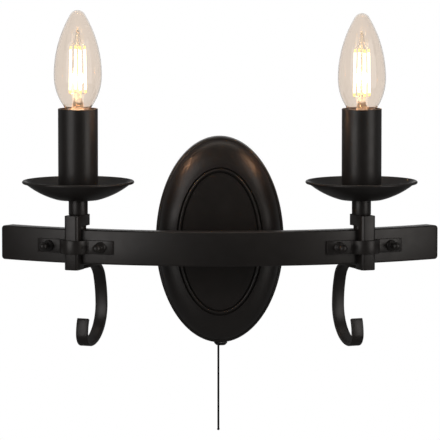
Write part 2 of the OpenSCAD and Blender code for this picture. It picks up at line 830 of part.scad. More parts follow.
module bulb_glass(side) {
    inner = glass_line(glass_wall);
    color([0.9, 0.85, 0.8, 0.4]) at_bulb(side) translate([0, 0, top_z + glass_mid]) rotate_extrude()
        polygon(concat(glass_line(0), [for (i = [len(inner) - 1 : -1 : 0]) inner[i]]));
}

module bulb_cap(side) {
    turns = floor((cap_h - 8) / pitch * 6);
    root = cap_r - thread_d;
    outer = concat([[4.6, 0], [5.8, 1]],
        [for (i = [0 : turns]) [thread_r(root, i * pitch / 6), 2.5 + i * pitch / 6]],
        [[root, 3.5 + turns * pitch / 6], [cap_r, 4.5 + turns * pitch / 6], [cap_r, cap_h]]);
    inner = [for (i = [len(outer) - 1 : -1 : 0]) [outer[i][0] - cap_wall, outer[i][1]]];
    color(zinc) at_bulb(side) translate([0, 0, cap_low]) rotate_extrude() polygon(concat(outer, inner));
}

// The insulator at the cap's lower end, with the round tip contact
module bulb_base(side) {
    color([0.15, 0.15, 0.17]) at_bulb(side) translate([0, 0, cap_low]) {
        translate([0, 0, -base_h]) cylinder(r1 = 1.6, r2 = 2.3, h = 1.2);
        translate([0, 0, -2]) cylinder(r1 = 2.4, r2 = 4.6, h = 2);
    }
}

// The glass stem: a flared foot in the neck and a tube up the middle of the bulb
module bulb_stem(side) {
    foot = cap_top + flare_lift;
    neck = foot + flare_h;
    stem_top = top_z + glass_mid + stem_rise;
    color([0.9, 0.88, 0.85, 0.5]) at_bulb(side) {
        translate([0, 0, foot]) cylinder(r1 = flare_r, r2 = flare_top_r, h = flare_h);
        translate([0, 0, neck]) cylinder(r1 = flare_top_r, r2 = stem_r, h = 1.2 * taper_h);
        translate([0, 0, neck + taper_h]) cylinder(r = stem_r, h = stem_top - neck - taper_h);
        translate([0, 0, stem_top]) sphere(stem_r);
        translate([0, 0, cap_top - eps]) ring(flare_r, rim_in, flare_lift + eps + fit);
    }
}

module at_filaments() {
    for (i = [0 : 3]) rotate(fil_turn + 90 * i) translate([fil_ring, 0, 0]) children();
}

module filaments(side) {
    color([1, 0.85, 0.5]) at_bulb(side) rotate(-side * candle_phi) translate([0, 0, fil_low])
        at_filaments() cylinder(r = filament_r, h = filament_h);
}

// Wire spiders on the stem that carry the filaments' ends
module filament_wires(side) {
    wire_t = 0.6;
    color(zinc) at_bulb(side) rotate(-side * candle_phi)
        for (z = [fil_low - wire_t, fil_low + filament_h]) translate([0, 0, z]) {
            ring(stem_r + 0.7, stem_r + 0.05, wire_t);
            for (i = [0 : 3]) rotate(fil_turn + 90 * i) translate([stem_r + 0.3, -wire_t / 2, 0])
                cube([fil_ring - stem_r, wire_t, wire_t]);
        }
}

// Pull switch
module switch_case() {
    in_x = 2 * (case_hw - case_wall);
    high = case_top - case_low;
    color(white) difference() {
        union() {
            translate([case_x - case_hw, -case_front, case_low])
                cube([2 * case_hw, case_front - case_back - cover_t, high]);
            translate([nozzle_x, -cord_y, neck_low]) cylinder(r = neck_r, h = case_low - neck_low + 0.5);
        }
        translate([case_x - case_hw + case_wall, -case_front + case_wall, case_low + case_wall])
            cube([in_x, case_front, high - 2 * case_wall]);
        translate([nozzle_x, -cord_y, neck_low - 1]) cylinder(r = neck_bore, h = case_low - neck_low + 3);
    }
}

module switch_cover() {
    color(white) translate([case_x - case_hw, -case_back - cover_t, case_low])
        cube([2 * case_hw, cover_t, case_top - case_low]);
}

module switch_nozzle() {
    top = -plate_b - 0.05;
    color(black) translate([nozzle_x, -cord_y, 0]) difference() {
        union() {
            translate([0, 0, top - 0.8]) cylinder(r = nozzle_r, h = 0.8);
            translate([0, 0, nozzle_low])
                cylinder(r1 = neck_bore + 0.65, r2 = neck_r + 0.8, h = top - 0.7 - nozzle_low);
        }
        translate([0, 0, neck_low - 0.05]) cylinder(r = neck_r + fit, h = 3);
        translate([0, 0, nozzle_low - 1]) cylinder(r = neck_bore, h = 4);
    }
}

module at_spindle(y) {
    translate([spin_x, -y, spin_z]) children();
}

module switch_spindle() {
    color(zinc) at_spindle(case_back + cover_t) into_room()
        cylinder(r = 1.5, h = case_front - case_wall - case_back - cover_t);
}

module switch_drum() {
    core = drum_r - cord_r - 0.15;
    color(white) at_spindle(cord_y - drum_half) into_room() difference() {
        union() {
            cylinder(r = core, h = 2 * drum_half);
            for (z = [0, 2 * drum_half - 1.1]) translate([0, 0, z]) cylinder(r = drum_r + 1.2, h = 1.1);
        }
        translate([0, 0, -1]) cylinder(r = 1.5 + run_fit, h = 2 * drum_half + 2);
    }
}

// The ratchet's rotor: four flats that lift the contact leaves in turn
module switch_rotor() {
    color(brass) at_spindle(rotor_back) into_room() difference() {
        intersection() {
            cylinder(r = 5, h = rotor_front - rotor_back);
            translate([-4.3, -4.3, 0]) cube([8.6, 8.6, rotor_front - rotor_back]);
        }
        translate([0, 0, -1]) cylinder(r = 1.5 + run_fit, h = 5);
    }
}

module switch_leaves() {
    leaf_t = 0.4;
    color(brass) for (s = [-1, 1])
        translate([spin_x + s * (5 + gap + leaf_t / 2) - leaf_t / 2, -rotor_front, spin_z - 5])
            cube([leaf_t, rotor_front - rotor_back, case_top - case_wall - spin_z + 5]);
}

// A tube of round section along a list of points: n sides, with the section kept square to the path
function unit(v) = v / norm(v);
function heading(p, i) = unit(p[min(i + 1, len(p) - 1)] - p[max(i - 1, 0)]);
function side_of(d) = unit(abs(d[2]) > 0.9 ? cross(d, [0, 1, 0]) : cross(d, [0, 0, 1]));
module sweep(p, r, n) {
    rings = [for (i = [0 : len(p) - 1]) let (d = heading(p, i), u = side_of(d), v = cross(d, u))
        each [for (k = [0 : n - 1]) p[i] + r * (cos(360 * k / n) * u + sin(360 * k / n) * v)]];
    skin = [for (i = [0 : len(p) - 2]) for (k = [0 : n - 1])
        each [[i * n + k, i * n + (k + 1) % n, (i + 1) * n + (k + 1) % n],
              [i * n + k, (i + 1) * n + (k + 1) % n, (i + 1) * n + k]]];
    first = [for (k = [n - 1 : -1 : 0]) k];
    last = [for (k = [0 : n - 1]) (len(p) - 1) * n + k];
    polyhedron(rings, concat([first, last], skin), convexity = 4);
}

// The return spring: a few curls of wire round the spindle
spring_path = [for (i = [0 : 12 * spring_curls])
    let (along = spring_wire + spring_room * i / (12 * spring_curls))
    [spring_r * cos(30 * i), spring_r * sin(30 * i), along]];

module switch_spring() {
    color(zinc) at_spindle(cord_y + drum_half + gap) into_room() sweep(spring_path, spring_wire, 6);
}

module pull_cord() {
    color(black) sweep(CORD_ROUTE, cord_r, 8);
}

module cord_bead() {
    end = CORD_ROUTE[len(CORD_ROUTE) - 1];
    drop = sqrt(pow(bead_r, 2) - pow(cord_r, 2));
    color(black) translate(end - [0, 0, drop]) intersection() {
        sphere(bead_r);
        translate([-2, -2, drop - 4]) cube([4, 4, 4]);
    }
}

module left_bracket() { bracket(-1); }
module left_strap() { saddle(-1); }
module left_hook() { hook(-1); }
module left_stub() { stub(-1); }
module left_drip_pan() { drip_pan(-1); }
module left_candle_tube() { candle_tube(-1); }
module left_nipple() { nipple(-1); }
module left_lampholder() { lampholder(-1); }
module left_thread_shell() { thread_shell(-1); }
module left_contact() { contact(-1); }
module left_bulb_glass() { bulb_glass(-1); }
module left_bulb_cap() { bulb_cap(-1); }
module left_bulb_base() { bulb_base(-1); }
module left_bulb_stem() { bulb_stem(-1); }
module left_filaments() { filaments(-1); }
module left_filament_wires() { filament_wires(-1); }
module right_bracket() { bracket(1); }
module right_strap() { saddle(1); }
module right_hook() { hook(1); }
module right_stub() { stub(1); }
module right_drip_pan() { drip_pan(1); }
module right_candle_tube() { candle_tube(1); }
module right_nipple() { nipple(1); }
module right_lampholder() { lampholder(1); }
module right_thread_shell() { thread_shell(1); }
module right_contact() { contact(1); }
module right_bulb_glass() { bulb_glass(1); }
module right_bulb_cap() { bulb_cap(1); }
module right_bulb_base() { bulb_base(1); }
module right_bulb_stem() { bulb_stem(1); }
module right_filaments() { filaments(1); }
module right_filament_wires() { filament_wires(1); }

wall_bracket();
side_screws();
earth_screw();
terminal_block();
terminal_screws();
backplate();
arm_tube();
arm_rod();
arm_washer();
arm_nut();
bar();
end_caps();
lamp_leads();
spacers();
nipple_nuts();
strap_bolts();
hook_screws();
left_bracket();
left_strap();
left_hook();
left_stub();
left_drip_pan();
left_candle_tube();
left_nipple();
left_lampholder();
left_thread_shell();
left_contact();
left_bulb_glass();
left_bulb_cap();
left_bulb_base();
left_bulb_stem();
left_filaments();
left_filament_wires();
right_bracket();
right_strap();
right_hook();
right_stub();
right_drip_pan();
right_candle_tube();
right_nipple();
right_lampholder();
right_thread_shell();
right_contact();
right_bulb_glass();
right_bulb_cap();
right_bulb_base();
right_bulb_stem();
right_filaments();
right_filament_wires();
switch_case();
switch_cover();
switch_nozzle();
switch_spindle();
switch_drum();
switch_rotor();
switch_spring();
switch_leaves();
pull_cord();
cord_bead();
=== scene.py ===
# %% [markdown]
# This scene dresses a two-light wall lamp for a picture. The shapes that matter to the hand
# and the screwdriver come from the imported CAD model. Here each painted part that shows is
# modelled again with round edges and a smooth skin, and every surface gets a finish of its own.
# The shapes are drawn in millimetres, because a lamp maker thinks in them, and each finished
# mesh is scaled to metres once, when its piece is made.

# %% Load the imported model
import json
import math
import bpy
import bmesh
from mathutils import Matrix, Vector


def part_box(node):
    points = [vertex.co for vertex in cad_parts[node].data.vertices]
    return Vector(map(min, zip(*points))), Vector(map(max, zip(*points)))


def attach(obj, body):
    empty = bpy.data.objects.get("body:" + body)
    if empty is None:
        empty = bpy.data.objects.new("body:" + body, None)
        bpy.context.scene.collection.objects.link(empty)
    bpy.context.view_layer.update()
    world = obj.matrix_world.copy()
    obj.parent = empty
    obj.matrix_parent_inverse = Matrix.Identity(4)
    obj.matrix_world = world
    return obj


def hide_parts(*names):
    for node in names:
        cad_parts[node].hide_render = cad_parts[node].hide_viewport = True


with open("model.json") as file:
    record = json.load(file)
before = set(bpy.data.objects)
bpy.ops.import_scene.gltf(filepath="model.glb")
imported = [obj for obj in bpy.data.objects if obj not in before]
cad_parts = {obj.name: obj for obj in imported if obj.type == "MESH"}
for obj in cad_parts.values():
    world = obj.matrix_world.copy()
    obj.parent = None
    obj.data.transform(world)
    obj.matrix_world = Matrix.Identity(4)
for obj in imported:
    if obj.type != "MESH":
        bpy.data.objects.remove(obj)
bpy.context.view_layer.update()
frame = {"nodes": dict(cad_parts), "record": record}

# %% [markdown]
# The driving sizes are read from the boxes of the CAD nodes, so a piece follows the model when
# it changes. Only what a box can't tell, such as a bend's radius, is written here.

# %% Sizes read from the model, in millimetres
MM = 0.001


def box_mm(node):
    low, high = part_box(node)
    return Vector(low) / MM, Vector(high) / MM


plate_high = box_mm("backplate")[1]
bar_low, bar_high = box_mm("bar")
tube_low, tube_high = box_mm("right_candle_tube")
pan_low, pan_high = box_mm("right_drip_pan")
stub_low, stub_high = box_mm("right_stub")

PLATE_A = plate_high.x
PLATE_B = plate_high.z
BAR_R = 275
BAR_T = 12
BAR_H = 2 * bar_high.z
BAR_FRONT = -bar_low.y
BAR_HALF = bar_high.x
ARC_Y = BAR_R - BAR_FRONT
MID_R = BAR_R - BAR_T / 2
CANDLE_X = (tube_low.x + tube_high.x) / 2
CANDLE_TURN = math.asin(CANDLE_X / MID_R)
TOP_Z = tube_high.z
print("candle at", round(CANDLE_X, 1), "turned", round(math.degrees(CANDLE_TURN), 2), "top", round(TOP_Z, 1))


# %% [markdown]
# Each candle light stands on the bar's middle arc and is turned with it. An object could be
# moved and turned there, but a finished piece has to lie unturned at the origin. So one matrix
# takes the mesh itself to its place, and the left and right lights are one drawing used twice.

# %% Places
SIDES = {"left": -1, "right": 1}


def on_arc(turn, radius):
    to_centre = Matrix.Translation((0, ARC_Y, 0))
    out = Matrix.Translation((0, -radius, 0))
    return to_centre @ Matrix.Rotation(turn, 4, "Z") @ out


def at_candle(side):
    return on_arc(SIDES[side] * CANDLE_TURN, MID_R)


print("candle axes stand on an arc of radius", MID_R, "mm about y =", round(ARC_Y, 1))


# %% [markdown]
# A finish is made of nodes. Black satin paint on metal isn't one flat colour: it has a slight
# orange peel that breaks up the reflections, places where it is a little more matt, and a
# brown cast where the coat is thin. A picture of paint could show this, but it would need a
# file and would stretch at the seams. Three noises of different size on Object coordinates
# need neither, and they stay on the piece from every side.

# %% Helpers for finishes
RAMP_LOW = 0.35
RAMP_HIGH = 0.65


def new_finish(name):
    material = bpy.data.materials.new(name)
    material.use_nodes = True
    return material, material.node_tree.nodes["Principled BSDF"]


def add(material, kind, **inputs):
    node = material.node_tree.nodes.new(kind)
    for key, value in inputs.items():
        node.inputs[key.replace("_", " ")].default_value = value
    return node


def join(material, source, target):
    material.node_tree.links.new(source, target)


def noise(material, scale, detail=3.0):
    place = add(material, "ShaderNodeTexCoord")
    cloud = add(material, "ShaderNodeTexNoise", Scale=scale, Detail=detail)
    join(material, place.outputs["Object"], cloud.inputs["Vector"])
    return cloud.outputs["Fac"]


def vary_color(material, shader, fac, dark, light):
    ramp = add(material, "ShaderNodeValToRGB")
    ramp.color_ramp.elements[0].position = RAMP_LOW
    ramp.color_ramp.elements[1].position = RAMP_HIGH
    ramp.color_ramp.elements[0].color = (*dark, 1)
    ramp.color_ramp.elements[1].color = (*light, 1)
    join(material, fac, ramp.inputs["Fac"])
    join(material, ramp.outputs["Color"], shader.inputs["Base Color"])


def vary_roughness(material, shader, fac, low, high):
    span = add(material, "ShaderNodeMapRange", From_Min=0.3, From_Max=0.7, To_Min=low, To_Max=high)
    join(material, fac, span.inputs["Value"])
    join(material, span.outputs["Result"], shader.inputs["Roughness"])


def bump(material, shader, fac, strength, depth_mm):
    relief = add(material, "ShaderNodeBump", Strength=strength, Distance=depth_mm * MM)
    join(material, fac, relief.inputs["Height"])
    join(material, relief.outputs["Normal"], shader.inputs["Normal"])


# %% Paints, metals and plastics
TONE_SCALE = 35.0
MATT_SCALE = 120.0
PEEL_DEPTH = 0.05


def coated(name, dark, light, rough, peel_scale, peel, metallic=0.0):
    material, shader = new_finish(name)
    shader.inputs["Metallic"].default_value = metallic
    vary_color(material, shader, noise(material, TONE_SCALE), dark, light)
    vary_roughness(material, shader, noise(material, MATT_SCALE), rough[0], rough[1])
    bump(material, shader, noise(material, peel_scale, 2.0), peel, PEEL_DEPTH)
    return material


FINISHES = {
    "black_paint": coated(
        "satin_black_paint", (0.0135, 0.0118, 0.0108), (0.0175, 0.0150, 0.0135), (0.34, 0.42), 1400.0, 0.25),
    "zinc_steel": coated(
        "zinc_plated_steel", (0.52, 0.53, 0.55), (0.66, 0.66, 0.66), (0.40, 0.52), 500.0, 0.2, metallic=1.0),
    "brass": coated(
        "plain_brass", (0.70, 0.50, 0.20), (0.80, 0.60, 0.28), (0.2, 0.35), 600.0, 0.2, metallic=1.0),
    "white_plastic": coated(
        "moulded_white", (0.78, 0.78, 0.75), (0.82, 0.82, 0.79), (0.4, 0.5), 1500.0, 0.1),
    "holder_plastic": coated(
        "holder_moulding", (0.72, 0.70, 0.64), (0.78, 0.76, 0.70), (0.5, 0.6), 1500.0, 0.1),
    "black_plastic": coated(
        "black_moulding", (0.010, 0.010, 0.010), (0.014, 0.013, 0.013), (0.3, 0.4), 900.0, 0.2),
    "wire_sleeve": coated(
        "wire_sleeve", (0.42, 0.38, 0.32), (0.48, 0.44, 0.38), (0.45, 0.6), 800.0, 0.2),
    "bulb_cap": coated(
        "rolled_cap", (0.70, 0.69, 0.66), (0.80, 0.79, 0.76), (0.15, 0.3), 900.0, 0.15, metallic=1.0),
    "bulb_insulator": coated(
        "glazed_insulator", (0.02, 0.02, 0.03), (0.03, 0.03, 0.04), (0.1, 0.2), 500.0, 0.1),
}
print("plain finishes:", len(FINISHES))


# %% [markdown]
# The bulbs' glass is clear but looks pale pink and beige, because it is lit by its own warm
# rods and passes a little less blue. The tint is that of one wall, and a look through a bulb
# passes two. The rods only need to read as white, so they glow at a low strength, and their
# ends are a deeper yellow. The pull cord is a matt braid: its slanting bands are a little
# darker and lighter, which is enough at its size.

# %% Glass, light and cord finishes
GLASS_IOR = 1.45
RIPPLE_DEPTH = 0.3
ROD_GRAIN = 700.0


def clear_glass(name, tint, scale, ripple, clear=1.0):
    material, shader = new_finish(name)
    shader.inputs["Base Color"].default_value = (*tint, 1)
    shader.inputs["Transmission Weight"].default_value = clear
    shader.inputs["Roughness"].default_value = 0.0
    shader.inputs["IOR"].default_value = GLASS_IOR
    bump(material, shader, noise(material, scale, 1.0), ripple, RIPPLE_DEPTH)
    return material


def glowing(name, color, strength):
    material, shader = new_finish(name)
    shader.inputs["Emission Color"].default_value = (*color, 1)
    shader.inputs["Emission Strength"].default_value = strength
    vary_color(material, shader, noise(material, ROD_GRAIN), (0.85, 0.6, 0.2), (0.95, 0.75, 0.3))
    return material


def braid(name):
    material, shader = new_finish(name)
    place = add(material, "ShaderNodeTexCoord")
    twist = add(material, "ShaderNodeTexWave", Scale=160.0, Distortion=1.0)
    twist.wave_type = "BANDS"
    twist.bands_direction = "DIAGONAL"
    join(material, place.outputs["Object"], twist.inputs["Vector"])
    vary_color(material, shader, twist.outputs["Fac"], (0.004, 0.004, 0.004), (0.007, 0.007, 0.007))
    shader.inputs["Roughness"].default_value = 0.9
    shader.inputs["Specular IOR Level"].default_value = 0.0
    return material


FINISHES["bulb_glass"] = clear_glass("bulb_glass_clear", (0.868, 0.803, 0.742), 40.0, 0.02)
FINISHES["stem_glass"] = clear_glass("stem_glass_warm", (1.0, 0.95, 0.82), 260.0, 1.0, clear=0.93)
FINISHES["filament"] = glowing("lit_rod", (1.0, 0.93, 0.76), 3.0)
FINISHES["cord"] = braid("black_braid")
rod_end_finish = glowing("rod_end", (1.0, 0.84, 0.36), 0.9)
print("all finishes:", len(FINISHES) + 1)

# %% Finishes on the CAD nodes that stay in view
slot_of = {part["node"]: part["material_slot"] for part in frame["record"]["subparts"]}
for node, thing in frame["nodes"].items():
    for place in thing.material_slots:
        place.material = FINISHES[slot_of[node]]
print("finished CAD nodes:", len(slot_of))


# %% [markdown]
# Every new piece is closed in the same way: doubles are merged, the faces are turned outwards,
# the mesh is moved to its place and scaled to metres, and the object itself stays at the
# origin. Smooth shading with marked sharp edges shows round flanks and crisp corners without
# more faces. A piece rides on a CAD body, so it moves with it, and the CAD nodes that it
# stands for are hidden.

# %% Making a piece
MERGE = 0.002
SHARP = math.radians(35)


def finish_mesh(name, bm, place):
    bmesh.ops.remove_doubles(bm, verts=bm.verts, dist=MERGE)
    bmesh.ops.recalc_face_normals(bm, faces=bm.faces)
    bmesh.ops.transform(bm, matrix=Matrix.Scale(MM, 4) @ place, verts=bm.verts)
    mesh = bpy.data.meshes.new(name)
    bm.to_mesh(mesh)
    bm.free()
    mesh.polygons.foreach_set("use_smooth", [True] * len(mesh.polygons))
    mesh.set_sharp_from_angle(angle=SHARP)
    return mesh


def piece(name, bm, body, nodes=(), place=Matrix(), slot="black_paint", finish=None):
    mesh = finish_mesh(name, bm, place)
    mesh.materials.append(finish or FINISHES[slot])
    thing = bpy.data.objects.new(name, mesh)
    bpy.context.collection.objects.link(thing)
    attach(thing, body)
    if nodes:
        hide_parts(*nodes)
    return thing


# %% [markdown]
# Turned and spun parts, such as the pans, tubes and bulbs, are lathed: half of the outline is
# drawn once and spun round the Z axis. A Screw modifier could do this too, but the spin gives
# a finished mesh at once. An arc helper draws the round stretches of an outline.

# %% Lathe
def arc(cx, cz, radius, start, end, count):
    turns = [math.radians(start + (end - start) * i / count) for i in range(count + 1)]
    return [(cx + radius * math.cos(a), cz + radius * math.sin(a)) for a in turns]


def lathe(outline, steps=96, closed=True):
    bm = bmesh.new()
    verts = [bm.verts.new((max(r, 0), 0, z)) for r, z in outline]
    ends = verts[1:] + verts[:1] if closed else verts[1:]
    edges = [bm.edges.new(pair) for pair in zip(verts, ends)]
    bmesh.ops.spin(
        bm, geom=verts + edges, cent=(0, 0, 0), axis=(0, 0, 1), angle=math.tau, steps=steps, use_merge=True)
    bmesh.ops.remove_doubles(bm, verts=bm.verts, dist=MERGE)
    bmesh.ops.dissolve_degenerate(bm, edges=bm.edges, dist=MERGE / 2)
    return bm


# %% [markdown]
# The camera stands three metres away with a long lens, a little above the lamp. A near camera
# would show the bar's middle larger than its ends. It was placed by fitting the outline of the
# oval, the bar and the pans, and the lens follows from how many pixels a millimetre takes.

# %% Camera
TARGET = Vector((0.12, -50, 18.5)) * MM
DISTANCE = 3.0
RISE = math.radians(5.67)
YAW = math.radians(0.11)
PX_PER_MM = 1.373
PHOTO_PX = 440
SENSOR = 36
FOCAL = PX_PER_MM * DISTANCE * 1000 / PHOTO_PX

camera = bpy.data.objects.new("camera", bpy.data.cameras.new("camera"))
bpy.context.collection.objects.link(camera)
away = Vector((-math.sin(YAW) * math.cos(RISE), -math.cos(YAW) * math.cos(RISE), math.sin(RISE)))
camera.location = TARGET + DISTANCE * away
camera.rotation_euler = (-away).to_track_quat("-Z", "Y").to_euler()
camera.data.sensor_width = SENSOR
camera.data.lens = SENSOR * FOCAL
camera.data.clip_start = 0.1
camera.data.clip_end = 50
bpy.context.scene.camera = camera
print("lens:", round(camera.data.lens, 1), "mm")

# %% [markdown]
# The pull cord hangs straight down out of the switch and ends in a small bead. Its route is
# the one in the CAD source, point by point, because its upper end has to stay inside the
# switch when it is pulled. A curve with a round bevel is used, which stays easy to reshape.

# %% Pull cord and its bead
CORD_X = -1.0
CORD_Y = -8.4
CORD_TOP = -46
CORD_STEP = 3.5
CORD_POINTS = 28
route = [Vector((CORD_X, CORD_Y, CORD_TOP - CORD_STEP * i)) * MM for i in range(CORD_POINTS)]
line = bpy.data.curves.new("pull_cord_braid", "CURVE")
line.dimensions = "3D"
line.bevel_depth = 0.75 * MM
line.bevel_resolution = 3
line.use_fill_caps = True
spline = line.splines.new("POLY")
spline.points.add(len(route) - 1)
for point, spot in zip(spline.points, route):
    point.co = (*spot, 1)
cord = bpy.data.objects.new("pull_cord_braid", line)
bpy.context.collection.objects.link(cord)
line.materials.append(FINISHES["cord"])

BEAD_R = 1.0
BEAD_BELOW = 0.9
bead_z = box_mm("cord_bead")[1].z - BEAD_BELOW
bead = piece(
    "cord_end_bead", lathe(arc(0, 0, BEAD_R, -90, 90, 12), 24, closed=False), "cord", ["cord_bead"],
    Matrix.Translation((CORD_X, CORD_Y, bead_z)), "black_plastic")
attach(cord, "cord")
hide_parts("pull_cord")


# %% [markdown]
# The oval wall plate is pressed from one sheet: a straight side wall, a small round edge, a
# domed band, two grooves with a bead between them, and a flat field. A subdivided disc could
# be pulled to this shape by hand, but its skin is drawn ring by ring instead, so that every
# step of the section can be measured. Each step extrudes the last oval and scales it.

# %% Plate outline
PLATE_SIDE = 14
PLATE_RISE = 11
CONE_RISE = 2.5
SHEET = 1.2
RIM_R = 2
BAND_A = 15.0
BAND_B = 21.3
GROOVE_W = 1.4
GROOVE_D = 1.25
BEAD_RISE = 0.4
BEAD_W = 1.6
FIELD_EDGE = 0.6
INNER_LAP = 5.5
DOME_WALL = 1.4 * SHEET
WALL_STEP = 6


def band_ring(t, drop=0.0):
    depth = PLATE_SIDE + CONE_RISE * t + (PLATE_RISE - CONE_RISE) * math.sin(math.radians(90 * t ** 0.65))
    return (PLATE_A - RIM_R - (BAND_A - RIM_R) * t, PLATE_B - RIM_R - (BAND_B - RIM_R) * t, depth - drop)


def rim_ring(angle):
    inward = RIM_R * (1 - math.cos(math.radians(angle)))
    sunk = RIM_R * (1 - math.sin(math.radians(angle)))
    return (PLATE_A - inward, PLATE_B - inward, PLATE_SIDE - sunk)


def groove_rings():
    front = PLATE_SIDE + PLATE_RISE
    a = PLATE_A - BAND_A
    b = PLATE_B - BAND_B
    rings = []
    for start in (0.0, GROOVE_W + BEAD_W):
        for k in range(9):
            sunk = GROOVE_D * math.sin(math.pi * k / 8)
            inward = start + GROOVE_W * k / 8
            rings.append((a - inward, b - inward, front - sunk))
        if start == 0:
            for k in range(1, 6):
                inward = GROOVE_W + BEAD_W * k / 6
                rings.append((a - inward, b - inward, front + BEAD_RISE * math.sin(math.pi * k / 6)))
    inward = 2 * GROOVE_W + BEAD_W + FIELD_EDGE
    return rings + [(a - inward, b - inward, front)]


def plate_rings():
    field_back = PLATE_SIDE + PLATE_RISE - 2 * SHEET
    inside = [(PLATE_A - BAND_A - INNER_LAP, PLATE_B - BAND_B - INNER_LAP, field_back)]
    inside += [band_ring(1 - i / 10, DOME_WALL) for i in range(10)]
    inside += [(PLATE_A - SHEET, PLATE_B - SHEET, PLATE_SIDE - RIM_R), (PLATE_A - SHEET, PLATE_B - SHEET, 0)]
    outside = [(PLATE_A, PLATE_B, 0), (PLATE_A, PLATE_B, WALL_STEP)]
    outside += [rim_ring(a) for a in (0, 15, 30, 45, 60, 75)]
    outside += [band_ring(i / 24) for i in range(25)]
    return inside + outside + groove_rings()[1:]


print("plate rings:", len(plate_rings()))


# %% Oval loft
def oval_loft(rings, segments=144):
    bm = bmesh.new()
    verts = bmesh.ops.create_circle(bm, cap_ends=True, segments=segments, radius=1)["verts"]
    a, b, depth = rings[0]
    bmesh.ops.rotate(bm, verts=verts, cent=(0, 0, 0), matrix=Matrix.Rotation(math.pi / 2, 3, "X"))
    bmesh.ops.scale(bm, verts=verts, vec=(a, 1, b))
    bmesh.ops.translate(bm, verts=verts, vec=(0, -depth, 0))
    edges = [e for e in bm.edges if e.is_boundary]
    for ring in rings[1:]:
        grown = bmesh.ops.extrude_edge_only(bm, edges=edges)["geom"]
        verts = [g for g in grown if isinstance(g, bmesh.types.BMVert)]
        bmesh.ops.scale(bm, verts=verts, vec=(ring[0] / a, 1, ring[1] / b))
        bmesh.ops.translate(bm, verts=verts, vec=(0, depth - ring[2], 0))
        edges = [g for g in grown if isinstance(g, bmesh.types.BMEdge) and all(v in verts for v in g.verts)]
        a, b, depth = ring
    bmesh.ops.edgeloop_fill(bm, edges=edges)
    return bm


# %% [markdown]
# The plate has an opening for the cord, one for the arm and two for its side screws. A round
# cutter takes each out of the finished mesh with a Boolean modifier, because the openings lie
# across the rings. The result is kept as a plain mesh, and its sharp edges are marked again.

# %% Drilling holes
CORD_HOLE = (0.7, CORD_Y, -PLATE_B)
CORD_HOLE_R = 4.0
ARM_HOLE_R = 5.1
SCREW_HOLE_R = 2.2
SCREW_HOLE_Y = -7
DRILL_LENGTH = 8


def drill(thing, centre, along, radius):
    bm = bmesh.new()
    bmesh.ops.create_cone(
        bm, cap_ends=True, segments=32, radius1=radius, radius2=radius, depth=DRILL_LENGTH)
    turn = Vector(along).to_track_quat("Z", "Y").to_matrix().to_4x4()
    cutter = bpy.data.objects.new("cutter", finish_mesh("cutter", bm, Matrix.Translation(centre) @ turn))
    bpy.context.collection.objects.link(cutter)
    cut = thing.modifiers.new("hole", "BOOLEAN")
    cut.operation = "DIFFERENCE"
    cut.solver = "EXACT"
    cut.object = cutter
    bpy.context.view_layer.update()
    holed = bpy.data.meshes.new_from_object(thing.evaluated_get(bpy.context.evaluated_depsgraph_get()))
    thing.modifiers.clear()
    thing.data = holed
    holed.set_sharp_from_angle(angle=SHARP)
    bpy.data.objects.remove(cutter)


plate = piece("wall_plate_pressing", oval_loft(plate_rings()), "lamp_frame", ["backplate"])
drill(plate, CORD_HOLE, (0, 0, 1), CORD_HOLE_R)
for x in (-PLATE_A, PLATE_A):
    drill(plate, (x, SCREW_HOLE_Y, 0), (1, 0, 0), SCREW_HOLE_R)
drill(plate, (0, -PLATE_SIDE - PLATE_RISE, 0), (0, 1, 0), ARM_HOLE_R)
print("plate faces:", len(plate.data.polygons))

# %% [markdown]
# The bar is a flat rectangular tube rolled to an arc. A straight box could be bent with a
# Simple Deform modifier, but a rectangle that is spun about the arc's centre has its exact
# radius. The end corners get a large round and the long edges a small one. The small round is
# what draws the fine light line along the bar.

# %% Bar
BAR_EDGE = 1.2
END_CORNER = 2.4
END_TRIM = 0.4


def bar_solid():
    bm = bmesh.new()
    rear = BAR_T - BAR_R
    corners = [(-BAR_R, -BAR_H / 2), (rear, -BAR_H / 2), (rear, BAR_H / 2), (-BAR_R, BAR_H / 2)]
    face = bm.faces.new([bm.verts.new((0, y, z)) for y, z in corners])
    half = math.asin((BAR_HALF + END_TRIM) / BAR_R)
    bmesh.ops.rotate(bm, verts=bm.verts, cent=(0, 0, 0), matrix=Matrix.Rotation(-half, 3, "Z"))
    bmesh.ops.spin(bm, geom=[face], cent=(0, 0, 0), axis=(0, 0, 1), angle=2 * half, steps=96)
    bmesh.ops.recalc_face_normals(bm, faces=bm.faces)
    across = [e for e in bm.edges if e.calc_face_angle(0) > 1 and abs(e.verts[0].co.z - e.verts[1].co.z) < 1
              and abs(e.verts[0].co.length - e.verts[1].co.length) > 1]
    bmesh.ops.bevel(bm, geom=across, offset=END_CORNER, segments=4, profile=0.5, affect="EDGES", material=-1)
    sharp = [e for e in bm.edges if e.calc_face_angle(0) > 0.8]
    bmesh.ops.bevel(bm, geom=sharp, offset=BAR_EDGE, segments=4, profile=0.5, affect="EDGES", material=-1)
    return bm


bar = piece("rolled_bar", bar_solid(), "lamp_frame", ["bar", "end_caps"], Matrix.Translation((0, ARC_Y, 0)))
print("bar faces:", len(bar.data.polygons))

# %% [markdown]
# The drip pan is spun from sheet: a flat seat, a round flank and a rolled rim. The candle tube
# is plain tube with its mouth broken by a fine round, and the stub under the pan and the arm
# are the same. All are lathed, and the flank's radius is worked out from the seat and the rim,
# so the pan keeps the size of the CAD one.

# %% Pans and tubes
PAN_SEAT = 15.6
PAN_LIP = 1.1
PAN_SHEET = 1.2
NIPPLE_R = 4.1
TUBE_WALL = 0.9
TUBE_EDGE = 0.25
STUB_WALL = 1.2
ARM_WALL = 1.4


